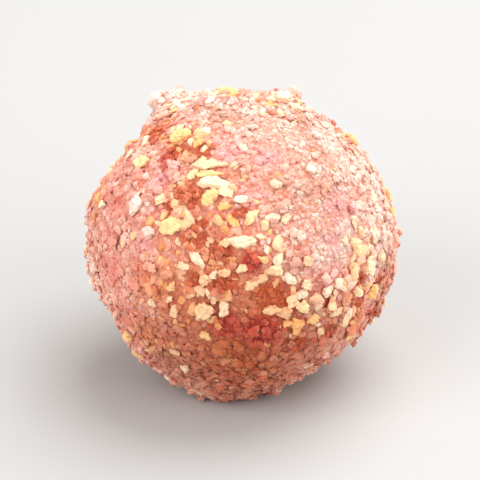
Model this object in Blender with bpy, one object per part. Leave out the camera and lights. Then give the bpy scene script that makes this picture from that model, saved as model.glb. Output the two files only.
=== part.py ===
"""One mochi: a soft ball of rice dough with a crumb coat, lying on the small flat spot that its weight makes.

The ball is a little uneven, as dough shaped by hand is. The larger crumbs are pressed part of their depth
into the coat and are one solid with the ball. Metres, +Z up. The origin is the middle of the flat spot.
"""

import math
import random

import bmesh
import bpy
from mathutils import Matrix, Vector, noise

MM = 0.001
MERGE_DISTANCE = 0.001 * MM

# Driving sizes of the ball.
BALL_RADIUS = 21.6 * MM
MIDDLE_HEIGHT = 0.925 * BALL_RADIUS
CORE_SUBDIVISIONS = 4

# The ball's places are given in mm across and up from its middle, as it shows from this height in front.
VIEW_ELEVATION = math.radians(29)
RIGHT = Vector((1, 0, 0))
UP = Vector((0, math.sin(VIEW_ELEVATION), math.cos(VIEW_ELEVATION)))
NEAR = Vector((0, -math.cos(VIEW_ELEVATION), math.sin(VIEW_ELEVATION)))

# Swells and flats of the dough: across, up, reach and height in mm. Reach is measured over the surface.
SWELLS = (
    (0, 22, 9, -0.6),
    (7.2, 20.8, 6, 0.8),
    (12.9, 18.4, 9, -1.7),
    (22, 0, 11, 0.8),
    (21, -8, 8, 0.4),
    (11, -19, 10, -1.3),
    (-4, -22, 9, 1.1),
    (-19.7, -10.8, 8, -1.7),
    (-21, 3, 12, -0.5),
    (-17.2, 14.6, 10, -3.4),
    (-11, 19.9, 7, 2.2),
    (6, 2, 12, 0.3),
)
# Broad, gentle unevenness all round.
LUMP_HEIGHT = 0.55 * MM
LUMPS_ACROSS = 1.6
# The coat's own roughness between the crumbs.
ROUGH_HEIGHT = 0.5 * MM
ROUGH_ACROSS = 7.0

# The largest crumbs that show in front: across, up, length, width in mm, and the turn of the length in degrees.
FRONT_CRUMBS = (
    (-8.1, 14.0, 3.2, 2.4, 10),
    (-5.8, 13.2, 2.0, 1.6, 60),
    (-4.0, 10.2, 5.2, 1.6, 3),
    (-3.6, 7.8, 4.8, 1.9, -4),
    (-4.0, 5.6, 2.8, 2.4, 20),
    (-1.0, 2.6, 2.6, 1.3, -50),
    (1.5, 3.2, 2.8, 1.4, 55),
    (0.2, -0.3, 4.2, 2.1, 4),
    (-9.4, 1.9, 3.4, 2.8, 12),
    (-5.8, -2.7, 3.2, 1.4, -55),
    (4.6, -4.4, 2.6, 2.1, 25),
    (1.6, -6.0, 2.4, 1.5, 40),
    (-2.2, -4.5, 2.0, 1.3, 0),
    (-4.8, -9.4, 2.7, 2.5, 30),
    (-2.2, -9.4, 2.7, 1.4, 88),
    (4.4, -9.7, 2.8, 1.5, 15),
    (7.9, -11.6, 3.2, 2.1, -65),
    (16.2, -0.8, 2.8, 1.9, -70),
    (17.9, -3.6, 3.0, 1.9, 80),
    (18.4, -7.2, 2.6, 1.9, 70),
    (15.3, -13.0, 2.3, 1.8, 20),
    (-15.6, -13.4, 2.2, 1.7, 40),
    (-1.6, 20.6, 3.2, 2.2, 0),
    (7.4, 20.4, 3.6, 3.0, 10),
    (11.1, 18.4, 2.4, 1.9, -50),
    (15.4, 14.2, 3.2, 2.0, -35),
    (-11.4, 19.0, 3.8, 3.0, 10),
)

# Where the rest of the coat is coarse: across, up and reach in mm in front, and a broad pattern behind.
COARSE_PATCHES = (
    (-8, 12, 8),
    (-3, 5, 8),
    (1, -3, 8),
    (6, -9, 9),
    (17, -5, 8),
    (-4, -8, 6),
    (5, 20, 7),
)
COARSE_BEHIND_ACROSS = 1.5
COARSE_BEHIND_OFFSET = Vector((7, 3, 5))
COARSE_BEHIND_MIDDLE = 0.5
COARSE_BEHIND_SWING = 1.1
# How quickly the front's patches give way to the pattern behind, round the ball's sides.
TURN_TO_BEHIND = 2

# The crumbs all round: places on an even spiral, of which the coarse parts keep all and the fine parts a share.
SEED = 11
CANDIDATES = 590
FINE_SHARE = 0.42
SCATTER = 0.05
LOWEST_CRUMB = 2.4 * MM
CLEAR_OF_FRONT_CRUMB = 1.2 * MM

# A crumb's own sizes. Its width is a share of its length, and its height a share of its width.
CRUMB_LENGTHS = (1.5 * MM, 3.2 * MM)
FINE_LENGTH_SHARE = 0.25
WIDTH_SHARES = (0.6, 0.95)
HEIGHT_SHARE = 0.85
SUNK_SHARE = 0.38
MOST_TILT = math.radians(22)
# Longer crumbs are lumps and the rest are blocks, both shaped at about unit size and then stretched.
LUMP_LENGTH = 2.3 * MM
LUMP_RADIUS = 0.55
BLOCK_SIDE = 0.8
CRUMB_UNEVEN = 0.13

COAT_COLOUR = (0.80, 0.42, 0.33, 1)
COAT_ROUGHNESS = 0.75
SHARP_EDGE = math.radians(35)


def seen_direction(across, up):
    """The direction from the ball's middle to a place given in mm across and up as seen from in front."""
    x, y = across * MM / BALL_RADIUS, up * MM / BALL_RADIUS
    outwards = max(1.0, math.hypot(x, y))
    x, y = x / outwards, y / outwards
    near = math.sqrt(max(0.0, 1 - x * x - y * y))
    return (RIGHT * x + UP * y + NEAR * near).normalized()


def fall_off(distance, reach):
    """One at the place itself, and smoothly nothing at its reach."""
    return 0.5 + 0.5 * math.cos(math.pi * min(1.0, distance / reach))


def coat_radius(direction):
    """How far the coat's surface is from the ball's middle in this direction, without its roughness."""
    radius = BALL_RADIUS + LUMP_HEIGHT * noise.noise(direction * LUMPS_ACROSS)
    for across, up, reach, height in SWELLS:
        distance = seen_direction(across, up).angle(direction) * BALL_RADIUS
        radius += height * MM * fall_off(distance, reach * MM)
    return radius


def surface_point(direction):
    return Vector((0, 0, MIDDLE_HEIGHT)) + direction * coat_radius(direction)


def coarseness(direction):
    """From 0, where the coat is fine, to 1, where most crumbs are large."""
    pattern = noise.noise(direction * COARSE_BEHIND_ACROSS + COARSE_BEHIND_OFFSET)
    behind = COARSE_BEHIND_MIDDLE + COARSE_BEHIND_SWING * pattern
    facing = max(0.0, min(1.0, 0.5 + TURN_TO_BEHIND * direction.dot(NEAR)))
    front = 0.0
    for across, up, reach in COARSE_PATCHES:
        distance = seen_direction(across, up).angle(direction) * BALL_RADIUS
        front = max(front, fall_off(distance, reach * MM))
    return max(0.0, min(1.0, front * facing + behind * (1 - facing)))


def placed(direction, size, turn, tilt=0.0, tilt_way=0.0):
    """A crumb's matrix: sunk a little, its length turned from the right-hand way, and tilted out of the coat."""
    along = UP.cross(direction).normalized()
    sideways = direction.cross(along)
    frame = Matrix((along, sideways, direction)).transposed()
    leaned = (
        Matrix.Rotation(tilt_way, 3, "Z") @ Matrix.Rotation(tilt, 3, "X") @ Matrix.Rotation(-tilt_way, 3, "Z")
    )
    middle = surface_point(direction) + direction * size.z * (0.5 - SUNK_SHARE)
    return Matrix.Translation(middle) @ (frame @ Matrix.Rotation(turn, 3, "Z") @ leaned).to_4x4()


def spiral_direction(k, count):
    """The k-th of this many directions spread evenly all round, from the top down."""
    z = 1 - (2 * k + 1) / count
    around = k * math.pi * (3 - math.sqrt(5))
    flat = math.sqrt(1 - z * z)
    return Vector((flat * math.cos(around), flat * math.sin(around), z))


def crumb_places():
    """Every crumb as its size and matrix: those that show in front, then the rest by an even spiral."""
    draw = random.Random(SEED)
    places = []
    front = []
    for across, up, length, width, turn in FRONT_CRUMBS:
        direction = seen_direction(across, up)
        size = Vector((length, width, HEIGHT_SHARE * width)) * MM
        places.append((size, placed(direction, size, math.radians(turn))))
        front.append((direction, length * MM / 2))
    for k in range(CANDIDATES):
        direction = spiral_direction(k, CANDIDATES)
        direction = (direction + Vector([draw.uniform(-SCATTER, SCATTER) for _ in range(3)])).normalized()
        coarse = coarseness(direction)
        chance, reach, share, turn, tilt, way = (draw.random() for _ in range(6))
        if chance > FINE_SHARE + (1 - FINE_SHARE) * coarse:
            continue
        if surface_point(direction).z < LOWEST_CRUMB:
            continue
        if any(
            direction.angle(other) * BALL_RADIUS < half_length + CLEAR_OF_FRONT_CRUMB
            for other, half_length in front
        ):
            continue
        shortest, longest = CRUMB_LENGTHS
        most = shortest + (longest - shortest) * (FINE_LENGTH_SHARE + (1 - FINE_LENGTH_SHARE) * coarse)
        length = shortest + (most - shortest) * reach
        width = length * (WIDTH_SHARES[0] + (WIDTH_SHARES[1] - WIDTH_SHARES[0]) * share)
        size = Vector((length, width, HEIGHT_SHARE * width))
        places.append((size, placed(direction, size, turn * math.pi, tilt * MOST_TILT, way * math.tau)))
    return places


def crumb_material():
    material = bpy.data.materials.new("crumb_coat")
    material.use_nodes = True
    shader = material.node_tree.nodes["Principled BSDF"]
    shader.inputs["Base Color"].default_value = COAT_COLOUR
    shader.inputs["Roughness"].default_value = COAT_ROUGHNESS
    shader.inputs["Metallic"].default_value = 0.0
    return material


def new_object(name, mesh, collection):
    obj = bpy.data.objects.new(name, mesh)
    collection.objects.link(obj)
    return obj


def make_core(collection):
    """The ball without its crumbs: a sphere shaped by its swells and its roughness, cut flat below."""
    shape = bmesh.new()
    bmesh.ops.create_icosphere(shape, subdivisions=CORE_SUBDIVISIONS, radius=1)
    for vertex in shape.verts:
        direction = vertex.co.normalized()
        rough = ROUGH_HEIGHT * noise.noise(direction * ROUGH_ACROSS)
        vertex.co = surface_point(direction) + direction * rough
    cut = bmesh.ops.bisect_plane(
        shape,
        geom=shape.verts[:] + shape.edges[:] + shape.faces[:],
        dist=MERGE_DISTANCE,
        plane_co=(0, 0, 0),
        plane_no=(0, 0, -1),
        clear_outer=True,
    )
    rim = [item for item in cut["geom_cut"] if isinstance(item, bmesh.types.BMEdge)]
    bmesh.ops.contextual_create(shape, geom=rim)
    bmesh.ops.recalc_face_normals(shape, faces=shape.faces)
    mesh = bpy.data.meshes.new("mochi")
    shape.to_mesh(mesh)
    shape.free()
    return new_object("mochi", mesh, collection)


def make_crumb(number, size, matrix, collection):
    """One crumb: a rounder, uneven lump where it is large, and an uneven block where it is small."""
    draw = random.Random(SEED + number)
    shape = bmesh.new()
    if size.x > LUMP_LENGTH:
        bmesh.ops.create_icosphere(shape, subdivisions=1, radius=LUMP_RADIUS)
    else:
        bmesh.ops.create_cube(shape, size=BLOCK_SIDE)
    for vertex in shape.verts:
        uneven = Vector([draw.uniform(-1, 1) for _ in range(3)]) * CRUMB_UNEVEN
        vertex.co = vertex.co + uneven
        vertex.co = Vector((vertex.co.x * size.x, vertex.co.y * size.y, vertex.co.z * size.z))
    shape.transform(matrix)
    mesh = bpy.data.meshes.new(f"crumb_{number}")
    shape.to_mesh(mesh)
    shape.free()
    return new_object(mesh.name, mesh, collection)


def fuse(core, crumbs):
    """Joins every crumb to the core with one union, then removes the crumbs' own objects."""
    union = core.modifiers.new("fuse", "BOOLEAN")
    union.operation = "UNION"
    union.operand_type = "COLLECTION"
    union.collection = crumbs
    union.solver = "EXACT"
    graph = bpy.context.evaluated_depsgraph_get()
    fused = bpy.data.meshes.new_from_object(core.evaluated_get(graph))
    core.modifiers.clear()
    core.data = fused
    for crumb in list(crumbs.objects):
        bpy.data.objects.remove(crumb)
    bpy.data.collections.remove(crumbs)


def keep_largest_shell(obj):
    """Fills the hollows that fusing sealed and drops loose scraps: only the outer shell stays."""
    shape = bmesh.new()
    shape.from_mesh(obj.data)
    bmesh.ops.triangulate(shape, faces=shape.faces)
    unsorted = set(shape.faces)
    shells = []
    while unsorted:
        shell = {unsorted.pop()}
        rim = list(shell)
        while rim:
            face = rim.pop()
            for edge in face.edges:
                for other in edge.link_faces:
                    if other in unsorted:
                        unsorted.remove(other)
                        shell.add(other)
                        rim.append(other)
        shells.append(shell)
    shells.sort(key=len)
    for shell in shells[:-1]:
        bmesh.ops.delete(shape, geom=list(shell), context="FACES")
    shape.to_mesh(obj.data)
    shape.free()


def main():
    for obj in list(bpy.data.objects):
        bpy.data.objects.remove(obj)
    collection = bpy.data.collections.new("mochi")
    bpy.context.scene.collection.children.link(collection)
    crumbs = bpy.data.collections.new("crumbs")
    bpy.context.scene.collection.children.link(crumbs)
    core = make_core(collection)
    for number, (size, matrix) in enumerate(crumb_places()):
        make_crumb(number, size, matrix, crumbs)
    fuse(core, crumbs)
    keep_largest_shell(core)
    core.data.shade_smooth()
    core.data.set_sharp_from_angle(angle=SHARP_EDGE)
    core.data.materials.clear()
    core.data.materials.append(crumb_material())


main()
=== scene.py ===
"""The looks of one mochi: a coat of real crumbs, bits and grains, laid in layers on a skin of dough.

Metres, +Z up, -Y the side that faces the camera. The ball's form, its coarse and fine places and its larger
crumbs follow the solid's rules and random draws, so each larger crumb lies where the solid has it.
"""

import math
import random
from collections import namedtuple

import bmesh
import bpy
import numpy as np
from mathutils import Matrix, Vector, noise
from mathutils.bvhtree import BVHTree


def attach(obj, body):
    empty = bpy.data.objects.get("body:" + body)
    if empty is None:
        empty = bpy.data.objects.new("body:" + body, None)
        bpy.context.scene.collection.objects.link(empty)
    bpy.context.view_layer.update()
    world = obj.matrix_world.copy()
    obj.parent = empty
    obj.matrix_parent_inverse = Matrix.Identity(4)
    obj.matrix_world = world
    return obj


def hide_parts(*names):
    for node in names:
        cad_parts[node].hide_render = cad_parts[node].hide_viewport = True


def srgb(red, green, blue):
    """A colour given as 0 to 255 on a screen, as the shader's linear values."""
    linear = []
    for value in (red, green, blue):
        share = value / 255
        linear.append(share / 12.92 if share <= 0.04045 else ((share + 0.055) / 1.055) ** 2.4)
    return (*linear, 1)


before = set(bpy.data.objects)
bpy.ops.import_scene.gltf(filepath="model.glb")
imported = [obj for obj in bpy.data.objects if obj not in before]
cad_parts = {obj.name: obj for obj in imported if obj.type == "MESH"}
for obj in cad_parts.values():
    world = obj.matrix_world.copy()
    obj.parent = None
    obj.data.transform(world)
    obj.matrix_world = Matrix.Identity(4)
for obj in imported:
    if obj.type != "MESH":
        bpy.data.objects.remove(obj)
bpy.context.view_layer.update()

NODE = "mochi"
MM = 0.001

# The ball's form, as in its solid.
BALL_RADIUS = 21.6 * MM
MIDDLE_HEIGHT = 0.925 * BALL_RADIUS
MIDDLE = Vector((0, 0, MIDDLE_HEIGHT))
VIEW_ELEVATION = math.radians(29)
RIGHT = Vector((1, 0, 0))
UP = Vector((0, math.sin(VIEW_ELEVATION), math.cos(VIEW_ELEVATION)))
NEAR = Vector((0, -math.cos(VIEW_ELEVATION), math.sin(VIEW_ELEVATION)))
# Swells and flats: across, up, reach and height in mm.
SWELLS = (
    (0, 22, 9, -0.6),
    (7.2, 20.8, 6, 0.8),
    (12.9, 18.4, 9, -1.7),
    (22, 0, 11, 0.8),
    (21, -8, 8, 0.4),
    (11, -19, 10, -1.3),
    (-4, -22, 9, 1.1),
    (-19.7, -10.8, 8, -1.7),
    (-21, 3, 12, -0.5),
    (-17.2, 14.6, 10, -3.4),
    (-11, 19.9, 7, 2.2),
    (6, 2, 12, 0.3),
)
LUMP_HEIGHT = 0.55 * MM
LUMPS_ACROSS = 1.6

# The largest crumbs in front: across, up, length, width in mm, the turn in degrees, and the kind of crumb.
FRONT_CRUMBS = (
    (-8.1, 14.0, 3.2, 2.4, 10, "golden"),
    (-5.8, 13.2, 2.0, 1.6, 60, "golden"),
    (-4.0, 10.2, 5.2, 1.6, 3, "cream"),
    (-3.6, 7.8, 4.8, 1.9, -4, "cream"),
    (-4.0, 5.6, 2.8, 2.4, 20, "golden"),
    (-1.0, 2.6, 2.6, 1.3, -50, "golden"),
    (1.5, 3.2, 2.8, 1.4, 55, "golden"),
    (0.2, -0.3, 4.2, 2.1, 4, "cream"),
    (-9.4, 1.9, 3.4, 2.8, 12, "golden"),
    (-5.8, -2.7, 3.2, 1.4, -55, "cream"),
    (4.6, -4.4, 2.6, 2.1, 25, "cream"),
    (1.6, -6.0, 2.4, 1.5, 40, "cream"),
    (-2.2, -4.5, 2.0, 1.3, 0, "cream"),
    (-4.8, -9.4, 2.7, 2.5, 30, "cream"),
    (-2.2, -9.4, 2.7, 1.4, 88, "cream"),
    (4.4, -9.7, 2.8, 1.5, 15, "cream"),
    (7.9, -11.6, 3.2, 2.1, -65, "golden"),
    (16.2, -0.8, 2.8, 1.9, -70, "golden"),
    (17.9, -3.6, 3.0, 1.9, 80, "cream"),
    (18.4, -7.2, 2.6, 1.9, 70, "golden"),
    (15.3, -13.0, 2.3, 1.8, 20, "golden"),
    (-15.6, -13.4, 2.2, 1.7, 40, "golden"),
    (-1.6, 20.6, 3.2, 2.2, 0, "golden"),
    (7.4, 20.4, 3.6, 3.0, 10, "pink"),
    (11.1, 18.4, 2.4, 1.9, -50, "pink"),
    (15.4, 14.2, 3.2, 2.0, -35, "golden"),
    (-11.4, 19.0, 3.8, 3.0, 10, "pink"),
)
# Smaller crumbs that stand out in front and are too fine for the solid.
SMALL_FRONT_CRUMBS = (
    (-8.8, 18.6, 2.6, 2.0, 0, "pink"),
    (-12.9, 16.9, 2.4, 1.8, 75, "pink"),
    (-10.6, 17.2, 2.2, 1.8, 20, "pink"),
    (-13.3, 10.6, 2.6, 2.0, 30, "golden"),
    (-9.4, 10.2, 2.5, 2.1, -20, "pink"),
    (-14.2, 4.6, 2.9, 2.4, 60, "pink"),
    (-11.6, 7.6, 2.0, 1.7, 10, "pink"),
    (-12.4, 1.0, 2.2, 1.8, 35, "pink"),
    (-10.8, 5.6, 2.0, 1.5, 20, "cream"),
    (0.2, 5.5, 2.4, 1.2, 5, "cream"),
    (-2.2, -0.4, 2.0, 1.4, 10, "cream"),
    (3.2, -2.6, 1.8, 1.3, -40, "golden"),
    (-2.0, 6.4, 2.4, 1.5, -20, "cream"),
    (-6.4, 8.9, 2.0, 1.3, 30, "golden"),
    (-4.1, 9.0, 3.8, 1.1, 2, "golden"),
    (-5.4, 10.9, 1.8, 1.2, 20, "cream"),
    (-1.9, 4.6, 2.2, 1.2, 10, "golden"),
    (6.7, -5.2, 2.6, 1.8, -15, "cream"),
    (16.0, 2.6, 2.2, 1.3, -75, "cream"),
    (18.9, 0.6, 2.4, 1.3, 80, "cream"),
    (3.1, 17.7, 2.0, 1.0, 80, "cream"),
    (5.5, 17.6, 2.0, 1.0, -80, "cream"),
    (4.3, 18.8, 2.2, 1.0, 0, "golden"),
    (-9.2, -6.4, 1.9, 1.3, 50, "cream"),
    (-7.6, -3.6, 1.8, 1.2, -30, "cream"),
    (6.6, -11.4, 1.7, 1.2, 20, "golden"),
    (8.6, -9.2, 2.6, 1.8, -40, "golden"),
    (8.4, -7.4, 2.0, 1.4, 20, "cream"),
    (9.9, -10.8, 2.0, 1.5, 60, "golden"),
    (12.0, -6.8, 2.2, 1.5, 30, "cream"),
    (-8.9, -9.6, 2.0, 1.3, 60, "cream"),
    (-9.8, -7.9, 1.9, 1.3, 20, "cream"),
    (-3.6, -4.9, 1.8, 1.2, 50, "cream"),
    (-4.6, -12.9, 1.9, 1.3, -30, "golden"),
    (-3.5, -7.9, 1.8, 1.2, 80, "cream"),
    (-4.2, -7.2, 1.8, 1.2, -60, "cream"),
    (0.2, -3.9, 1.8, 1.2, 10, "cream"),
    (17.0, 1.2, 2.0, 1.3, -60, "cream"),
    (13.0, -9.8, 2.0, 1.4, 30, "cream"),
    (11.0, -12.4, 1.8, 1.3, -40, "cream"),
)

# In front, where the coat is coarse: across, up and reach in mm.
COARSE_PATCHES = (
    (-8, 12, 8),
    (-3, 5, 8),
    (1, -3, 8),
    (6, -9, 9),
    (17, -5, 8),
    (-4, -8, 6),
    (5, 20, 7),
)
# In front, where bits are cream and golden, and where the coat is finest: across, up and reach in mm.
CREAM_PATCHES = (
    (-7.5, 13.5, 5),
    (-4, 6, 7),
    (-9, 2, 5),
    (0, -1, 7),
    (6, -6.5, 8),
    (-4, -7, 6),
    (-8.5, -7.5, 5),
    (12, -8, 6),
    (17, -3.5, 5.5),
    (14.0, -10.0, 4.6),
)
FINE_PATCHES = (
    (7, 15, 12),
    (11, 6, 12),
    (14, -1, 6),
    (-2, 19, 7),
)
# How quickly what is in front gives way to what is behind, and where: for crumbs at the rim, as in the solid,
# and for colours and bits a little past it.
TURN_TO_BEHIND = 2
CRUMBS_IN_FRONT = 0.5
COLOURS_IN_FRONT = 1.2

# The larger crumbs all round, as in the solid: candidates spread evenly and moved a little, of which this
# share stays where the coat is finest. Widths are shares of the length, and heights of the width.
SEED = 11
CANDIDATES = 590
FINE_SHARE = 0.42
SCATTER = 0.05
LOWEST_CRUMB = 2.4 * MM
CLEAR_OF_FRONT_CRUMB = 1.2 * MM
CRUMB_LENGTHS = (1.5 * MM, 3.2 * MM)
FINE_LENGTH_SHARE = 0.25
WIDTH_SHARES = (0.6, 0.95)
HEIGHT_SHARE = 0.85
SUNK_SHARE = 0.38
MOST_TILT = math.radians(22)
# How likely each kind is where the coat is finest, and where it is coarsest.
KIND_WEIGHTS = {
    "cream": (0.4, 2.9),
    "golden": (0.1, 0.8),
    "pink": (2.2, 0.6),
}

# Patches of colour, each kind with its colour, the offset of its pattern behind, and its places in front:
# across, up and reach in mm. Soft ones tint the coat; the tan ones are painted shade, and the pale ones are
# partly painted sheen at the rim. Thin ones are where few bits and pale grains lie, so that red grains and
# the skin show between them; the orange one is partly painted shade in those holes.
Patches = namedtuple("Patches", "colour behind front")
SOFT_PATCHES = {
    "pink": Patches(
        srgb(240, 164, 168),
        Vector((5, 6, 1)),
        (
            (14.0, 4.0, 5.0),
            (13.0, -0.5, 3.0),
            (-1.5, 12.5, 4.0),
            (4.0, 11.0, 4.0),
            (1.5, 7.0, 3.0),
            (-10.5, 8.8, 4.0),
            (-13.0, -1.0, 3.0),
            (11.5, -5.0, 5.0),
        ),
    ),
    # Pale patches: paler crumbs, and near the rim partly painted sheen, the paleness of a powdery coat seen
    # edgewise.
    "pale": Patches(
        srgb(247, 235, 222),
        Vector((1, 4, 8)),
        (
            (-11.0, 19.0, 7.0),
            (-7.5, 20.0, 8.0),
            (1.5, 18.0, 4.0),
            (7.5, 19.5, 6.0),
            (12.5, 14.0, 5.0),
            (14.5, -1.5, 3.5),
            (-13.5, 5.0, 2.2),
            (15.0, 10.5, 5.0),
            (18.5, 9.5, 7.0),
            (20.0, 1.5, 8.0),
            (15.5, 1.0, 4.0),
            (7.5, -3.5, 5.0),
            (11.0, -2.5, 4.0),
            (10.0, -9.5, 3.0),
            (19.5, -3.0, 4.0),
            (-19.0, 12.0, 4.0),
        ),
    ),
    "rose": Patches(
        srgb(230, 116, 98),
        Vector((3, 8, 2)),
        (
            (-17.0, 5.0, 4.0),
            (-13.3, -6.0, 4.0),
            (-18.0, -4.0, 5.0),
            (8.5, -2.6, 3.0),
        ),
    ),
    "amber": Patches(
        srgb(238, 146, 88),
        Vector((6, 2, 7)),
        (
            (-12.0, 15.0, 4.0),
            (-7.5, 6.5, 5.0),
            (-6.8, 12.0, 2.5),
            (14.5, 14.8, 2.5),
            (-4.0, -3.0, 8.0),
            (3.0, -8.0, 7.0),
            (-10.0, -7.0, 9.0),
            (-20.0, 6.0, 5.0),
            (-12.5, -13.5, 5.0),
            (16.0, -11.5, 4.0),
        ),
    ),
    # Tan patches are painted shade: on the lower right rim, under a golden crumb at the upper left, and in a
    # few darker places in front.
    "tan": Patches(
        srgb(186, 122, 86),
        Vector((9, 5, 2)),
        (
            (20.5, -3.5, 4.0),
            (20.0, -9.5, 7.0),
            (16.5, -14.0, 6.0),
            (5.0, 8.0, 3.6),
            (9.5, 6.5, 2.8),
            (-0.5, 9.0, 3.2),
            (-1.5, 16.5, 3.2),
            (-6.8, 11.6, 2.5),
            (-10.5, -16.5, 4.0),
        ),
    ),
}
THIN_PATCHES = {
    # The orange patches are partly painted shade, darker than the orange that shows in these holes.
    "orange": Patches(
        srgb(186, 74, 24),
        Vector((2, 9, 4)),
        (
            (-11.8, 15.0, 3.0),
            (-8.8, 12.2, 2.5),
            (-5.0, 12.0, 2.0),
            (-7.2, 6.0, 3.0),
            (-5.9, 0.8, 3.4),
            (-2.6, -1.6, 2.6),
            (-2.2, -6.2, 2.6),
            (-6.0, -5.6, 2.0),
            (4.6, -7.8, 3.4),
            (6.2, -8.4, 1.8),
            (8.0, -14.4, 2.4),
            (16.6, -8.6, 2.0),
            (12.2, -12.6, 2.2),
            (18.4, -10.6, 3.2),
            (16.4, -14.2, 2.8),
            (19.4, -5.6, 1.8),
            (20.2, -8.6, 2.2),
            (17.0, -5.6, 1.6),
            (0.3, 3.9, 1.5),
            (-9.5, 4.6, 1.6),
            (4.3, 17.6, 1.0),
            (-15.5, -13.5, 2.0),
        ),
    ),
    "red": Patches(
        srgb(184, 46, 36),
        Vector((8, 1, 6)),
        (
            (-10.2, 11.3, 2.0),
            (1.7, -3.0, 2.2),
            (3.0, -12.6, 4.4),
            (-1.8, -11.8, 3.2),
            (11.6, -8.2, 1.8),
        ),
    ),
}
# How much more quickly a thin patch reaches its full depth than a soft one.
THIN_STEEPNESS = 1.8
# The patterns behind: how many times they change across the ball's radius, their middle and their swing.
Pattern = namedtuple("Pattern", "across middle swing")
COARSE_BEHIND = Pattern(1.5, 0.5, 1.1)
FINE_BEHIND = Pattern(2.6, 0.45, 2.0)
SOFT_BEHIND = Pattern(3.5, -0.2, 1.5)
THIN_BEHIND = Pattern(6.5, -0.45, 2.2)
COARSE_OFFSET = Vector((7, 3, 5))
FINE_OFFSET = Vector((4, 4, 9))
# The coat is darker and redder low in front and at its foot: painted shade, partly a deeper rose-brown colour
# of the coat there. It deepens along a curve between these cosines of the angle from those two ways.
SHADE_AND_STAIN_WAYS = (
    (-0.75 * UP + 0.66 * NEAR).normalized(),
    Vector((0, 0, -1)),
)
SHADE_AND_STAIN_FROM = 0.6
SHADE_AND_STAIN_TO = 1.0
SHADE_AND_STAIN_CURVE = 1.3

# The skin of dough between and under the crumbs.
SKIN_SUBDIVISIONS = 7
SKIN_SUNK = 0.30 * MM
SKIN_RELIEF = 0.40 * MM
SKIN_LUMPS_ACROSS = 24
SKIN_LUMP_STEEPNESS = 1.4
SKIN_PITS_ACROSS = 60
SKIN_PIT_SHARE = 0.35
SKIN_GRAINS_PER_MM = 1.7
UNDERSIDE_LIFT = 0.15 * MM

# The shapes of crumbs: a ball squared towards a cube, cut by broken faces, roughened, in some rows of lumps,
# and bent a little. Each has its ball's subdivisions, its number of cuts, how rough it is, how high its
# lumps are, and its most bend.
Shape = namedtuple("Shape", "subdivisions cuts rough lumps bend")
SHAPES = {
    "crumb": Shape(3, 5, 0.30, 0.14, 0.9),
    "bit": Shape(2, 4, 0.32, 0.12, 0.9),
    "grain": Shape(1, 2, 0.30, 0.0, 0.0),
}
SQUARENESS = 2.7
CUTS_FROM_MIDDLE = (0.26, 0.42)
ROUGH_ACROSS = 3.4
FINE_ROUGH_ACROSS = 9.0
FINE_ROUGH_SHARE = 0.6
LUMP_ROWS = 3
FARTHEST_OFFSET = 50
SHAPES_OF_A_KIND = 28

# What is scattered over the larger crumbs, from the lowest layer up. Count is for all round, lengths are in
# mm, and widths and heights are shares of the length. Kept is the share that stays, and kept_in the share in
# places of some kinds, the later ones over the earlier. The shade-and-stain share and on_clean multiply it
# where the painted shade and stain are deepest and on top of the pieces that stay clean. Lined_up is how far
# each one's turn follows the slant.
Layer = namedtuple("Layer", "name shape count lengths widths heights lined_up stained on_clean kept kept_in")
LAYERS = (
    (
        Layer(
            "cream_bits", "bit", 6200, (1.0, 2.7), (0.5, 0.85), 0.7, 0.0, 0.4, 0.1,
            0.03, {"fine": 0.01, "cream": 0.90, "thin": 0.0},
        ),
        Layer(
            "pale_bits", "bit", 4600, (1.0, 2.0), (0.6, 0.9), 0.6, 0.5, 0.5, 0.1,
            0.35, {"fine": 0.55, "pale": 0.60, "cream": 0.20, "thin": 0.03},
        ),
        Layer(
            "pink_bits", "bit", 4600, (1.1, 2.2), (0.6, 0.9), 0.6, 0.0, 1.0, 0.1,
            0.75, {"fine": 0.15, "cream": 0.20, "thin": 0.30},
        ),
    ),
    (
        Layer(
            "golden_grains", "grain", 9000, (0.6, 1.3), (0.6, 0.9), 0.7, 0.0, 0.6, 0.1,
            0.02, {"fine": 0.04, "amber": 0.30, "cream": 0.30, "thin": 0.10},
        ),
        Layer(
            "pale_grains", "grain", 14500, (0.5, 1.2), (0.5, 0.9), 0.7, 0.4, 0.7, 0.1,
            0.30, {"fine": 0.85, "cream": 0.12, "thin": 0.05},
        ),
        Layer(
            "pink_grains", "grain", 14500, (0.5, 1.2), (0.6, 0.95), 0.7, 0.3, 1.0, 0.1,
            0.45, {"fine": 0.85, "cream": 0.10, "thin": 0.30},
        ),
        Layer(
            "red_grains", "grain", 14000, (0.5, 1.2), (0.6, 0.95), 0.7, 0.0, 1.0, 0.0,
            0.0, {"cream": 0.05, "thin": 0.90},
        ),
    ),
)
# How large bits and grains are in the finest places, as a share of their lengths.
FINEST_SIZE = 0.65
# The pieces that stay clean, with little laid on them.
CLEAN_PIECES = ("cream_crumbs", "golden_crumbs", "cream_bits")
# How near these layers come to a front crumb, as a share of its half length.
CREAM_LAYERS = ("cream_bits", "golden_grains")
CLEAR_SHARE = 1.1
# The way that streaks run in front, from the right-hand way.
SLANT = math.radians(-40)
ALONG_SLANT = RIGHT * math.cos(SLANT) + UP * math.sin(SLANT)
ACROSS_SLANT = UP * math.cos(SLANT) - RIGHT * math.sin(SLANT)
STREAKS_ALONG = 3
STREAKS_ACROSS = 11
STREAK_SWING = 2.0
# How far the tones of bits and grains follow the streaks, and how far in the finest places.
STREAK_SHARES = (0.4, 0.75)
# Bits and grains are dropped from this far out. They are tilted up to this much, sunk by a share of their
# height, and left out where they land on what is too steep, or stands out too far from the coat's surface.
DROP_FROM = 8 * MM
LAID_TILT = math.radians(32)
LAID_SUNK = (0.28, 0.6)
STEEPEST_LANDING = 0.3
MOST_STACKED = 0.7 * MM

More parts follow.
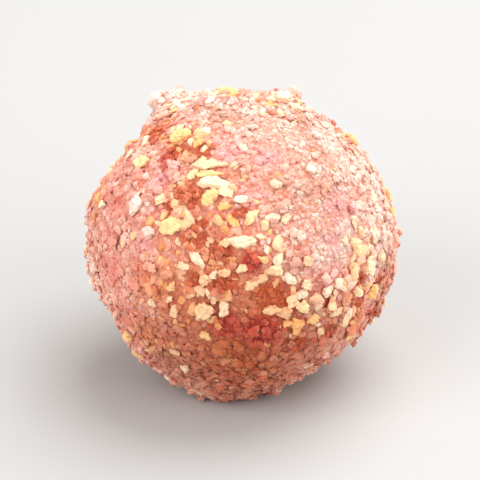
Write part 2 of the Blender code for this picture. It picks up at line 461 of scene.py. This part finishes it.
# The colour in the gaps between crumbs, at their feet and in their pits: painted shade, darker and redder
# than the dough.
GAP_SHADE = srgb(216, 116, 84)
SKIN_COLOURS = ((240, 154, 136), (247, 182, 162), (253, 208, 190))
# What the deepest painted shade and stain multiply the coat's colours by.
SHADE_AND_STAIN = (0.56, 0.262, 0.1, 1)
# What the finest coat multiplies them by: it is a little less red.
FINE_TINT = (0.74, 0.96, 1.0, 1)
# Each kind's colours from its darkest to its palest crumbs, how much the gap's painted shade shows at a
# crumb's foot and in its pits, and how much it takes of the painted shade and stain, of soft patches and the
# fine tint, and of thin patches.
Look = namedtuple("Look", "colours foot stained tinted patched")
KIND_LOOKS = {
    "cream_crumbs": Look(((252, 212, 158), (254, 228, 186), (255, 243, 216)), 0.8, 0.3, 0.15, 0.0),
    "golden_crumbs": Look(((250, 188, 108), (254, 212, 142), (255, 234, 180)), 0.8, 0.3, 0.15, 0.1),
    "pink_crumbs": Look(((244, 184, 168), (249, 204, 189), (252, 226, 212)), 0.4, 0.9, 0.6, 0.5),
    "cream_bits": Look(
        ((240, 164, 96), (250, 200, 142), (254, 224, 184), (255, 241, 212)), 0.7, 0.4, 0.45, 0.1
    ),
    "pink_bits": Look(((226, 132, 108), (242, 174, 152), (252, 212, 190)), 0.6, 1.0, 0.6, 0.6),
    "pale_bits": Look(((230, 166, 146), (241, 204, 186), (248, 230, 212)), 0.6, 1.0, 0.75, 0.2),
    "golden_grains": Look(((226, 134, 68), (248, 180, 108), (255, 216, 158)), 0.6, 0.5, 0.4, 0.2),
    "pale_grains": Look(((214, 144, 126), (240, 200, 182), (250, 231, 215)), 0.6, 1.0, 0.75, 0.3),
    "pink_grains": Look(((192, 102, 86), (230, 160, 146), (246, 204, 190)), 0.6, 1.0, 0.75, 0.65),
    "red_grains": Look(((158, 40, 24), (196, 76, 36), (226, 122, 70)), 0.3, 0.4, 0.2, 0.5),
}
# How much the skin takes of the same three, and how much the gap's painted shade does.
SKIN_TAKES = (1.0, 0.4, 0.85)
GAP_SHADE_TAKES = (1.0, 0.2, 1.0)
# The skin's packed grains: how uneven they are, how far from its middle a grain begins to fall and ends,
# how far in from its wall the gap's painted shade reaches, and how much of that shows in walls and in cream
# places.
CELL_UNEVENNESS = 0.6
CELL_FALL = (0.15, 0.75)
WALL_REACH = 0.6
GAP_SHADE_IN_WALLS = 0.7
GAP_SHADE_IN_CREAM = 0.4
# The powder that dulls some places on every crumb: its colour, how many of them there are, where its pattern
# begins to show and is full, and how much of it there is then.
POWDER = srgb(250, 202, 182)
POWDER_PER_MM = 1.3
POWDER_FROM_TO = (0.4, 0.75)
POWDER_SHARE = 0.3
# How much of the gap's painted shade the deepest pit takes, the crest at which none is left, and how far down
# a crumb's foot its painted shade begins and is full.
DEEPEST_PIT_SHADE = 0.35
PIT_SHADE_ENDS = 0.45
FOOT_SHADE_FROM_TO = (0.3, 0.9)
# Patterns change this many times per mm, in this many finer and finer steps.
CRUMB_RELIEF_PER_MM = 3.5
SKIN_ROUGHNESS_PER_MM = 1.2
CRUMB_ROUGHNESS_PER_MM = 2.0
NOISE_STEPS = 3
FINE_NOISE_STEPS = 4
NOISE_ROUGHNESS = 0.6
# The finest relief: its height and its strength.
SKIN_BUMP = (0.3 * MM, 0.8)
CRUMB_BUMP = (0.14 * MM, 0.7)
# The shader's own values.
ROUGHNESS = (0.55, 0.85)
SKIN_SUBSURFACE = 0.1
CRUMB_SUBSURFACE = 0.12
SUBSURFACE_REACH = 0.4 * MM
SUBSURFACE_RADIUS = (1.0, 0.45, 0.25)
SPECULAR = 0.35
SHEEN = 0.16
SHEEN_ROUGHNESS = 0.5

CAMERA_DISTANCE = 0.65
SHOWN_WIDTH = 68 * MM
SENSOR_WIDTH = 36
NEAREST_SEEN = 0.01
FLOOR_HALF = 3.0
FLOOR_BELOW = 0.02 * MM
FLOOR_GREY = 0.5
FLOOR_ROUGHNESS = 0.9
WORLD_STRENGTH = 0.45
# Each light's name, the way to it from the ball, its distance, width, power and colour.
LIGHTS = (
    ("key", RIGHT * 0.35 + UP * 0.92 + NEAR * 0.15, 0.7, 0.8, 6.4, (1.0, 0.985, 0.96)),
    ("left", RIGHT * -0.65 + UP * 0.2 + NEAR * 0.73, 0.9, 0.8, 5.2, (1.0, 0.985, 0.96)),
    ("right", RIGHT * 0.65 + UP * 0.25 + NEAR * 0.72, 0.9, 0.8, 3.8, (1.0, 0.985, 0.96)),
)


def seen_direction(across, up):
    """The direction from the ball's middle to a place given in mm across and up as seen from in front."""
    x, y = across * MM / BALL_RADIUS, up * MM / BALL_RADIUS
    outwards = max(1.0, math.hypot(x, y))
    x, y = x / outwards, y / outwards
    near = math.sqrt(max(0.0, 1 - x * x - y * y))
    return (RIGHT * x + UP * y + NEAR * near).normalized()


def directed(patches):
    """Patches given in mm as their direction and the rest in metres."""
    return [(seen_direction(across, up), *(value * MM for value in rest)) for across, up, *rest in patches]


SWELL_PLACES = directed(SWELLS)
COARSE_PLACES = directed(COARSE_PATCHES)
CREAM_PLACES = directed(CREAM_PATCHES)
FINE_PLACES = directed(FINE_PATCHES)
PATCH_PLACES = {
    name: (directed(patches.front), pattern, patches.behind)
    for kinds, pattern in ((SOFT_PATCHES, SOFT_BEHIND), (THIN_PATCHES, THIN_BEHIND))
    for name, patches in kinds.items()
}
FRONT_PLACES = [
    (seen_direction(across, up), length / 2 * MM)
    for across, up, length, *_ in FRONT_CRUMBS + SMALL_FRONT_CRUMBS
]


def clamped(value):
    return max(0.0, min(1.0, value))


def between(limits, share):
    """The value this share of the way from the first limit to the second."""
    low, high = limits
    return low + (high - low) * share


def fall_off(distance, reach):
    """One at the place itself, and smoothly nothing at its reach."""
    return 0.5 + 0.5 * math.cos(math.pi * min(1.0, distance / reach))


def coat_radius(direction):
    """How far the coat's surface is from the ball's middle in this direction, without its roughness."""
    radius = BALL_RADIUS + LUMP_HEIGHT * noise.noise(direction * LUMPS_ACROSS)
    for place, reach, height in SWELL_PLACES:
        radius += height * fall_off(place.angle(direction) * BALL_RADIUS, reach)
    return radius


def surface_point(direction):
    return MIDDLE + direction * coat_radius(direction)


def facing_front(direction, at_rim):
    """One in front and nothing behind, with this value at the rim."""
    return clamped(at_rim + TURN_TO_BEHIND * direction.dot(NEAR))


def nearest_patch(direction, places):
    """From 0 to 1, how much this direction is in one of these places."""
    return max(fall_off(place.angle(direction) * BALL_RADIUS, reach) for place, reach in places)


def pattern_value(direction, pattern, offset):
    """A pattern behind, in this direction."""
    return pattern.middle + pattern.swing * noise.noise(direction * pattern.across + offset)


def coarseness(direction):
    """From 0, where the coat is fine, to 1, where most crumbs are large."""
    behind = pattern_value(direction, COARSE_BEHIND, COARSE_OFFSET)
    facing = facing_front(direction, CRUMBS_IN_FRONT)
    front = nearest_patch(direction, COARSE_PLACES)
    return clamped(front * facing + behind * (1 - facing))


def patch_value(direction, places, pattern, offset):
    """From 0 to 1, how much this direction is in one of these places in front, or in their pattern behind."""
    facing = facing_front(direction, COLOURS_IN_FRONT)
    behind = clamped(pattern_value(direction, pattern, offset))
    return nearest_patch(direction, places) * facing + behind * (1 - facing)


def coat_values(direction):
    """What the layers and the materials read at this place, each from 0 to 1."""
    # Painted shade and stain: darker and redder low in front and at the foot, partly a deeper colour.
    low = max(direction.dot(way) for way in SHADE_AND_STAIN_WAYS)
    stain = clamped((low - SHADE_AND_STAIN_FROM) / (SHADE_AND_STAIN_TO - SHADE_AND_STAIN_FROM)) ** SHADE_AND_STAIN_CURVE
    facing = facing_front(direction, COLOURS_IN_FRONT)
    cream_behind = coarseness(direction) * (1 - stain)
    cream = math.sqrt(nearest_patch(direction, CREAM_PLACES) * facing + cream_behind * (1 - facing))
    values = {name: patch_value(direction, *settings) for name, settings in PATCH_PLACES.items()}
    for name in THIN_PATCHES:
        values[name] = clamped(THIN_STEEPNESS * values[name])
    values["thin"] = max(values[name] for name in THIN_PATCHES)
    values["cream"] = cream
    values["fine"] = patch_value(direction, FINE_PLACES, FINE_BEHIND, FINE_OFFSET)
    values["stain"] = stain
    return values


def streak(direction):
    """From 0 to 1, a pattern of streaks along the slant."""
    along = direction.dot(ALONG_SLANT) * STREAKS_ALONG
    across = direction.dot(ACROSS_SLANT) * STREAKS_ACROSS
    return clamped(0.5 + STREAK_SWING * noise.noise(Vector((along, across, 0))))


def placed(point, outwards, size, turn, tilt=0.0, tilt_way=0.0, sunk=SUNK_SHARE):
    """A crumb's matrix: sunk a little, turned from the right-hand way, and tilted from the coat."""
    along = UP.cross(outwards).normalized()
    sideways = outwards.cross(along)
    axes = Matrix((along, sideways, outwards)).transposed()
    leaned = (
        Matrix.Rotation(tilt_way, 3, "Z") @ Matrix.Rotation(tilt, 3, "X") @ Matrix.Rotation(-tilt_way, 3, "Z")
    )
    middle = point + outwards * size.z * (0.5 - sunk)
    turned = axes @ Matrix.Rotation(turn, 3, "Z") @ leaned @ Matrix.Diagonal(size)
    return Matrix.Translation(middle) @ turned.to_4x4()


def spiral_direction(k, count):
    """The k-th of this many directions spread evenly all round, from the top down."""
    z = 1 - (2 * k + 1) / count
    around = k * math.pi * (3 - math.sqrt(5))
    flat = math.sqrt(1 - z * z)
    return Vector((flat * math.cos(around), flat * math.sin(around), z))


def front_crumb(across, up, length, width, turn, kind):
    direction = seen_direction(across, up)
    size = Vector((length, width, HEIGHT_SHARE * width)) * MM
    return kind, direction, size, placed(surface_point(direction), direction, size, math.radians(turn))


def larger_crumbs():
    """The larger crumbs as their kind, direction, size and matrix, each where the solid has it."""
    draw = random.Random(SEED)
    kind_draw = random.Random(SEED + 1)
    crumbs = [front_crumb(*crumb) for crumb in FRONT_CRUMBS]
    front = [(direction, size.x / 2) for _, direction, size, _ in crumbs]
    for k in range(CANDIDATES):
        direction = spiral_direction(k, CANDIDATES)
        direction = (direction + Vector([draw.uniform(-SCATTER, SCATTER) for _ in range(3)])).normalized()
        coarse = coarseness(direction)
        chance, reach, share, turn, tilt, way = (draw.random() for _ in range(6))
        if chance > between((FINE_SHARE, 1), coarse):
            continue
        point = surface_point(direction)
        if point.z < LOWEST_CRUMB:
            continue
        if any(
            direction.angle(other) * BALL_RADIUS < half_length + CLEAR_OF_FRONT_CRUMB
            for other, half_length in front
        ):
            continue
        longest = between(CRUMB_LENGTHS, between((FINE_LENGTH_SHARE, 1), coarse))
        length = between((CRUMB_LENGTHS[0], longest), reach)
        width = length * between(WIDTH_SHARES, share)
        size = Vector((length, width, HEIGHT_SHARE * width))
        matrix = placed(point, direction, size, turn * math.pi, tilt * MOST_TILT, way * math.tau)
        values = coat_values(direction)
        weights = {kind: between(limits, coarse) for kind, limits in KIND_WEIGHTS.items()}
        weights["cream"] *= 1 - values["thin"]
        weights["golden"] *= (1 - values["thin"]) * (1 - values["fine"])
        kind = kind_draw.choices(list(weights), list(weights.values()))[0]
        crumbs.append((kind, direction, size, matrix))
    return crumbs + [front_crumb(*crumb) for crumb in SMALL_FRONT_CRUMBS]


def unit_ball(subdivisions):
    """A ball of radius 1, as its points and its triangles."""
    shape = bmesh.new()
    bmesh.ops.create_icosphere(shape, subdivisions=subdivisions, radius=1)
    points = np.array([vertex.co for vertex in shape.verts])
    triangles = np.array([[vertex.index for vertex in face.verts] for face in shape.faces])
    shape.free()
    return points, triangles


def broken_crumb(ball, shape, draw):
    """One crumb of unit size, and how far each of its points stands out, from 0 in a pit to 1 on a crest."""
    squared = (np.abs(ball) ** SQUARENESS).sum(axis=1, keepdims=True) ** (1 / SQUARENESS)
    crumb = 0.5 * ball / squared
    for _ in range(shape.cuts):
        face = np.array([draw.gauss(0, 1) for _ in range(3)])
        face /= np.linalg.norm(face)
        beyond = np.maximum(0, crumb @ face - draw.uniform(*CUTS_FROM_MIDDLE))
        crumb -= beyond[:, None] * face
    offset = Vector([draw.uniform(-FARTHEST_OFFSET, FARTHEST_OFFSET) for _ in range(3)])
    relief = np.empty(len(crumb))
    for index, point in enumerate(crumb):
        place = Vector(point)
        broad = noise.noise(place * ROUGH_ACROSS + offset)
        relief[index] = broad + FINE_ROUGH_SHARE * noise.noise(place * FINE_ROUGH_ACROSS + offset)
    crumb *= 1 + shape.rough * relief[:, None]
    lump_phase = draw.uniform(0, math.tau)
    crumb[:, 1:] *= 1 + shape.lumps * np.cos(LUMP_ROWS * math.tau * crumb[:, :1] + lump_phase)
    bend = draw.uniform(-shape.bend, shape.bend)
    if bend:
        angle = crumb[:, 0] * bend
        radius = 1 / bend - crumb[:, 1]
        crumb[:, 0] = radius * np.sin(angle)
        crumb[:, 1] = 1 / bend - radius * np.cos(angle)
    lowest, highest = crumb.min(axis=0), crumb.max(axis=0)
    crumb = (crumb - (lowest + highest) / 2) / (highest - lowest)
    return crumb, np.clip(0.5 + relief, 0, 1)


def joined(name, kind_of_shape, places, seed):
    """One mesh of many crumbs. Each place is a matrix and the values that the crumb's material reads."""
    draw = random.Random(seed)
    shape = SHAPES[kind_of_shape]
    ball, triangles = unit_ball(shape.subdivisions)
    made = [broken_crumb(ball, shape, draw) for _ in range(SHAPES_OF_A_KIND)]
    chosen = np.array([draw.randrange(len(made)) for _ in places])
    local = np.array([crumb for crumb, _ in made])[chosen]
    crest = np.array([relief for _, relief in made])[chosen]
    matrices = np.array([np.array(matrix) for matrix, _ in places])
    world = np.einsum("nij,nkj->nki", matrices[:, :3, :3], local) + matrices[:, None, :3, 3]
    world[:, :, 2] = np.maximum(world[:, :, 2], 0)
    starts = np.arange(len(places))[:, None, None] * len(ball)
    mesh = bpy.data.meshes.new(name)
    mesh.from_pydata(world.reshape(-1, 3), [], (triangles[None] + starts).reshape(-1, 3))
    amounts = {value: np.repeat([values[value] for _, values in places], len(ball)) for value in places[0][1]}
    amounts["foot"] = np.clip(0.5 - local[:, :, 2], 0, 1).ravel()
    amounts["crest"] = crest.ravel()
    for value, amount in amounts.items():
        mesh.attributes.new(value, "FLOAT", "POINT").data.foreach_set("value", amount.astype(np.float32))
    return mesh


def add_piece(name, mesh, material):
    piece = bpy.data.objects.new(name, mesh)
    bpy.context.scene.collection.objects.link(piece)
    mesh.materials.append(material)
    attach(piece, "root")
    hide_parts(NODE)
    return mesh


def laid_so_far(meshes):
    """Every mesh laid so far as one tree that a ray can be cast on, and the name of each triangle's mesh."""
    points = []
    triangles = []
    names = []
    for mesh in meshes:
        start = len(points)
        points += [vertex.co.copy() for vertex in mesh.vertices]
        triangles += [[start + index for index in polygon.vertices] for polygon in mesh.polygons]
        names += [mesh.name] * len(mesh.polygons)
    return BVHTree.FromPolygons(points, triangles, all_triangles=True), names


def beside_front_crumb(direction):
    """Whether this direction is in the gap that is kept round a front crumb."""
    return any(
        direction.angle(other) * BALL_RADIUS < half_length * CLEAR_SHARE
        for other, half_length in FRONT_PLACES
    )


def scattered(layer, tree, names, draw):
    """Places for one layer: spread evenly, thinned by place, and each landing on what was laid before."""
    spacing = math.sqrt(4 * math.pi / layer.count)
    places = []
    for k in range(layer.count):
        direction = spiral_direction(k, layer.count)
        jitter = Vector([draw.uniform(-spacing, spacing) for _ in range(3)])
        direction = (direction + jitter).normalized()
        chance, reach, width, turn, tilt, way, tone, depth = (draw.random() for _ in range(8))
        values = coat_values(direction)
        kept = layer.kept
        for kind, share in layer.kept_in.items():
            kept = between((kept, share), values[kind])
        kept *= between((1, layer.stained), values["stain"])
        if chance > kept or (layer.name in CREAM_LAYERS and beside_front_crumb(direction)):
            continue
        point, normal, triangle, _ = tree.ray_cast(MIDDLE + direction * (BALL_RADIUS + DROP_FROM), -direction)
        stands_out = (point - MIDDLE).length - coat_radius(direction)
        if normal.dot(direction) < STEEPEST_LANDING or stands_out > MOST_STACKED:
            continue
        if names[triangle] in CLEAN_PIECES and chance > kept * layer.on_clean:
            continue
        length = between(layer.lengths, reach**2) * MM * between((1, FINEST_SIZE), values["fine"])
        across = length * between(layer.widths, width)
        size = Vector((length, across, across * layer.heights))
        slanted = SLANT + (turn - 0.5) * math.tau * (1 - layer.lined_up)
        outwards = (direction + normal).normalized()
        sunk = between(LAID_SUNK, depth)
        matrix = placed(point, outwards, size, slanted, tilt * LAID_TILT, way * math.tau, sunk)
        tone = between((tone, streak(direction)), between(STREAK_SHARES, values["fine"]))
        places.append((matrix, {"tone": tone, **values}))
    return places


def skin_mesh():
    """The dough: the ball's form sunk a little, with lumps like packed grains, and flat below."""
    ball, triangles = unit_ball(SKIN_SUBDIVISIONS)
    points = []
    amounts = {"crest": []}
    for point in ball:
        direction = Vector(point)
        from_lump = noise.voronoi(direction * SKIN_LUMPS_ACROSS)[0][0]
        relief = max(0.0, 1 - SKIN_LUMP_STEEPNESS * from_lump)
        relief += SKIN_PIT_SHARE * noise.noise(direction * SKIN_PITS_ACROSS)
        place = surface_point(direction) + direction * (SKIN_RELIEF * relief - SKIN_SUNK)
        if place.z < UNDERSIDE_LIFT:
            place = MIDDLE + direction * ((UNDERSIDE_LIFT - MIDDLE_HEIGHT) / direction.z)
        points.append(place)
        amounts["crest"].append(clamped(relief))
        for name, value in coat_values(direction).items():
            amounts.setdefault(name, []).append(value)
    mesh = bpy.data.meshes.new("skin")
    mesh.from_pydata(points, [], triangles)
    mesh.shade_smooth()
    for name, values in amounts.items():
        mesh.attributes.new(name, "FLOAT", "POINT").data.foreach_set("value", values)
    return mesh


class Shading:
    """A material's node tree, with short calls for the nodes that the coat's materials share."""

    def __init__(self, name):
        self.material = bpy.data.materials.new(name)
        self.material.use_nodes = True
        self.tree = self.material.node_tree
        self.shader = self.tree.nodes["Principled BSDF"]
        self.place = self.tree.nodes.new("ShaderNodeTexCoord").outputs["Object"]

    def link(self, value, socket):
        if isinstance(value, bpy.types.NodeSocket):
            self.tree.links.new(value, socket)
        else:
            socket.default_value = value

    def attribute(self, name):
        node = self.tree.nodes.new("ShaderNodeAttribute")
        node.attribute_name = name
        return node.outputs["Fac"]

    def cells(self, scale_per_mm):
        """Cells with uneven walls: how far in from its wall a point is, and one tone for each cell."""
        uneven = self.tree.nodes.new("ShaderNodeTexNoise")
        uneven.inputs["Scale"].default_value = scale_per_mm / MM
        self.tree.links.new(self.place, uneven.inputs["Vector"])
        moved = self.tree.nodes.new("ShaderNodeVectorMath")
        moved.operation = "MULTIPLY_ADD"
        moved.inputs[1].default_value = (CELL_UNEVENNESS * MM / scale_per_mm,) * 3
        self.tree.links.new(uneven.outputs["Color"], moved.inputs[0])
        self.tree.links.new(self.place, moved.inputs[2])
        node = self.tree.nodes.new("ShaderNodeTexVoronoi")
        node.inputs["Scale"].default_value = scale_per_mm / MM
        self.tree.links.new(moved.outputs["Vector"], node.inputs["Vector"])
        return self.ranged(node.outputs["Distance"], *CELL_FALL, 1.0, 0.0), node.outputs["Color"]

    def noise(self, scale_per_mm, steps=NOISE_STEPS):
        node = self.tree.nodes.new("ShaderNodeTexNoise")
        self.tree.links.new(self.place, node.inputs["Vector"])
        node.inputs["Scale"].default_value = scale_per_mm / MM
        node.inputs["Detail"].default_value = steps
        node.inputs["Roughness"].default_value = NOISE_ROUGHNESS
        return node.outputs["Fac"]

    def ranged(self, value, low, high, to_low=0.0, to_high=1.0):
        node = self.tree.nodes.new("ShaderNodeMapRange")
        node.inputs["From Min"].default_value = low
        node.inputs["From Max"].default_value = high
        node.inputs["To Min"].default_value = to_low
        node.inputs["To Max"].default_value = to_high
        self.link(value, node.inputs["Value"])
        return node.outputs["Result"]

    def times(self, first, second):
        node = self.tree.nodes.new("ShaderNodeMath")
        node.operation = "MULTIPLY"
        node.use_clamp = True
        self.link(first, node.inputs[0])
        self.link(second, node.inputs[1])
        return node.outputs["Value"]

    def ramp(self, value, colours):
        """Colours at even steps from 0 to 1."""
        node = self.tree.nodes.new("ShaderNodeValToRGB")
        elements = node.color_ramp.elements
        while len(elements) < len(colours):
            elements.new(1)
        for step, (element, colour) in enumerate(zip(elements, colours)):
            element.position = step / (len(colours) - 1)
            element.color = srgb(*colour)
        self.link(value, node.inputs["Fac"])
        return node.outputs["Color"]

    def mix(self, amount, first, second, blend="MIX"):
        node = self.tree.nodes.new("ShaderNodeMix")
        node.data_type = "RGBA"
        node.blend_type = blend
        self.link(amount, node.inputs["Factor"])
        self.link(first, node.inputs["A"])
        self.link(second, node.inputs["B"])
        return node.outputs["Result"]

    def bump(self, height, distance, strength):
        node = self.tree.nodes.new("ShaderNodeBump")
        node.inputs["Distance"].default_value = distance
        node.inputs["Strength"].default_value = strength
        self.link(height, node.inputs["Height"])
        self.tree.links.new(node.outputs["Normal"], self.shader.inputs["Normal"])

    def finish(self, colour, roughness_per_mm, subsurface):
        """The material with this colour, a roughness that changes from place to place, and soft sheen."""
        inputs = self.shader.inputs
        self.link(colour, inputs["Base Color"])
        self.link(self.ranged(self.noise(roughness_per_mm), 0, 1, *ROUGHNESS), inputs["Roughness"])
        inputs["Subsurface Weight"].default_value = subsurface
        inputs["Subsurface Radius"].default_value = SUBSURFACE_RADIUS
        inputs["Subsurface Scale"].default_value = SUBSURFACE_REACH
        inputs["Specular IOR Level"].default_value = SPECULAR
        inputs["Sheen Weight"].default_value = SHEEN
        inputs["Sheen Roughness"].default_value = SHEEN_ROUGHNESS
        return self.material


def of_place(shading, colour, stained, tinted, patched):
    """A colour as its place changes it: by the fine coat, soft patches, the painted shade and stain, and thin
    places.
    """
    colour = shading.mix(shading.times(shading.attribute("fine"), tinted), colour, FINE_TINT, "MULTIPLY")
    for name, patches in SOFT_PATCHES.items():
        colour = shading.mix(shading.times(shading.attribute(name), tinted), colour, patches.colour)
    # Painted shade and stain, darker and redder low in front and at the foot.
    colour = shading.mix(shading.times(shading.attribute("stain"), stained), colour, SHADE_AND_STAIN, "MULTIPLY")
    for name, patches in THIN_PATCHES.items():
        colour = shading.mix(shading.times(shading.attribute(name), patched), colour, patches.colour)
    return colour


def skin_material():
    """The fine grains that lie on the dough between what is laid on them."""
    shading = Shading("coat_skin")
    inside, tone = shading.cells(SKIN_GRAINS_PER_MM)
    colour = shading.ramp(tone, SKIN_COLOURS)
    colour = of_place(shading, colour, *SKIN_TAKES)
    # The walls between the skin's grains, and the cream places, take the gap's painted shade.
    wall_shade = shading.ranged(inside, 0.0, WALL_REACH, 1.0, 0.0)
    gap_shade = of_place(shading, GAP_SHADE, *GAP_SHADE_TAKES)
    colour = shading.mix(shading.times(shading.attribute("cream"), GAP_SHADE_IN_CREAM), colour, gap_shade)
    colour = shading.mix(shading.times(wall_shade, GAP_SHADE_IN_WALLS), colour, gap_shade)
    shading.bump(inside, *SKIN_BUMP)
    return shading.finish(colour, SKIN_ROUGHNESS_PER_MM, SKIN_SUBSURFACE)


def crumb_material(name):
    """Crumbs of one kind, each with its own tone, its place's colours, painted shade in pits and at the foot,
    and powder.
    """
    look = KIND_LOOKS[name]
    shading = Shading(name)
    colour = shading.ramp(shading.attribute("tone"), look.colours)
    powder = shading.ranged(shading.noise(POWDER_PER_MM, FINE_NOISE_STEPS), *POWDER_FROM_TO)
    colour = shading.mix(shading.times(powder, POWDER_SHARE), colour, POWDER)
    colour = of_place(shading, colour, look.stained, look.tinted, look.patched)
    # The gap's painted shade, in each crumb's pits and at its foot.
    gap_shade = of_place(shading, GAP_SHADE, *GAP_SHADE_TAKES)
    pit_shade = shading.ranged(shading.attribute("crest"), 0.0, PIT_SHADE_ENDS, DEEPEST_PIT_SHADE, 0.0)
    colour = shading.mix(shading.times(pit_shade, look.foot), colour, gap_shade)
    foot = shading.ranged(shading.attribute("foot"), *FOOT_SHADE_FROM_TO)
    colour = shading.mix(shading.times(foot, look.foot), colour, gap_shade)
    shading.bump(shading.noise(CRUMB_RELIEF_PER_MM, FINE_NOISE_STEPS), *CRUMB_BUMP)
    return shading.finish(colour, CRUMB_ROUGHNESS_PER_MM, CRUMB_SUBSURFACE)


def dress():
    """Every piece of the coat."""
    laid = [add_piece("skin", skin_mesh(), skin_material())]
    crumbs = larger_crumbs()
    tone_draw = random.Random(SEED + 2)
    for number, kind in enumerate(KIND_WEIGHTS):
        name = kind + "_crumbs"
        places = [
            (matrix, {"tone": tone_draw.random(), **coat_values(direction)})
            for crumb_kind, direction, _, matrix in crumbs
            if crumb_kind == kind
        ]
        mesh = joined(name, "crumb", places, SEED + number)
        laid.append(add_piece(name, mesh, crumb_material(name)))
    for layers in LAYERS:
        tree, names = laid_so_far(laid)
        for layer in layers:
            seed = SEED + layer.count
            places = scattered(layer, tree, names, random.Random(seed))
            mesh = joined(layer.name, layer.shape, places, seed)
            laid.append(add_piece(layer.name, mesh, crumb_material(layer.name)))


def linked(name, data):
    thing = bpy.data.objects.new(name, data)
    bpy.context.scene.collection.objects.link(thing)
    return thing


def aim(thing, target):
    thing.rotation_euler = (target - thing.location).to_track_quat("-Z", "Y").to_euler()


def add_camera():
    camera = linked("camera", bpy.data.cameras.new("camera"))
    camera.location = MIDDLE + NEAR * CAMERA_DISTANCE
    aim(camera, MIDDLE)
    camera.data.sensor_width = SENSOR_WIDTH
    camera.data.lens = SENSOR_WIDTH * CAMERA_DISTANCE / SHOWN_WIDTH
    camera.data.clip_start = NEAREST_SEEN
    bpy.context.scene.camera = camera


def add_light(name, way, distance, width, power, colour):
    light = bpy.data.lights.new(name, "AREA")
    light.shape = "DISK"
    light.size = width
    light.energy = power
    light.color = colour
    lamp = linked(name, light)
    lamp.location = MIDDLE + way.normalized() * distance
    aim(lamp, MIDDLE)


def add_surroundings():
    shape = bmesh.new()
    bmesh.ops.create_grid(shape, x_segments=1, y_segments=1, size=FLOOR_HALF)
    mesh = bpy.data.meshes.new("floor")
    shape.to_mesh(mesh)
    shape.free()
    floor = linked("floor", mesh)
    floor.location.z = -FLOOR_BELOW
    material = bpy.data.materials.new("floor")
    material.use_nodes = True
    shader = material.node_tree.nodes["Principled BSDF"]
    shader.inputs["Base Color"].default_value = (FLOOR_GREY, FLOOR_GREY, FLOOR_GREY, 1)
    shader.inputs["Roughness"].default_value = FLOOR_ROUGHNESS
    mesh.materials.append(material)
    world = bpy.data.worlds.new("studio")
    world.use_nodes = True
    background = world.node_tree.nodes["Background"]
    background.inputs["Color"].default_value = (1, 1, 1, 1)
    background.inputs["Strength"].default_value = WORLD_STRENGTH
    bpy.context.scene.world = world
    bpy.context.scene.view_settings.view_transform = "Standard"


dress()
add_camera()
for settings in LIGHTS:
    add_light(*settings)
add_surroundings()
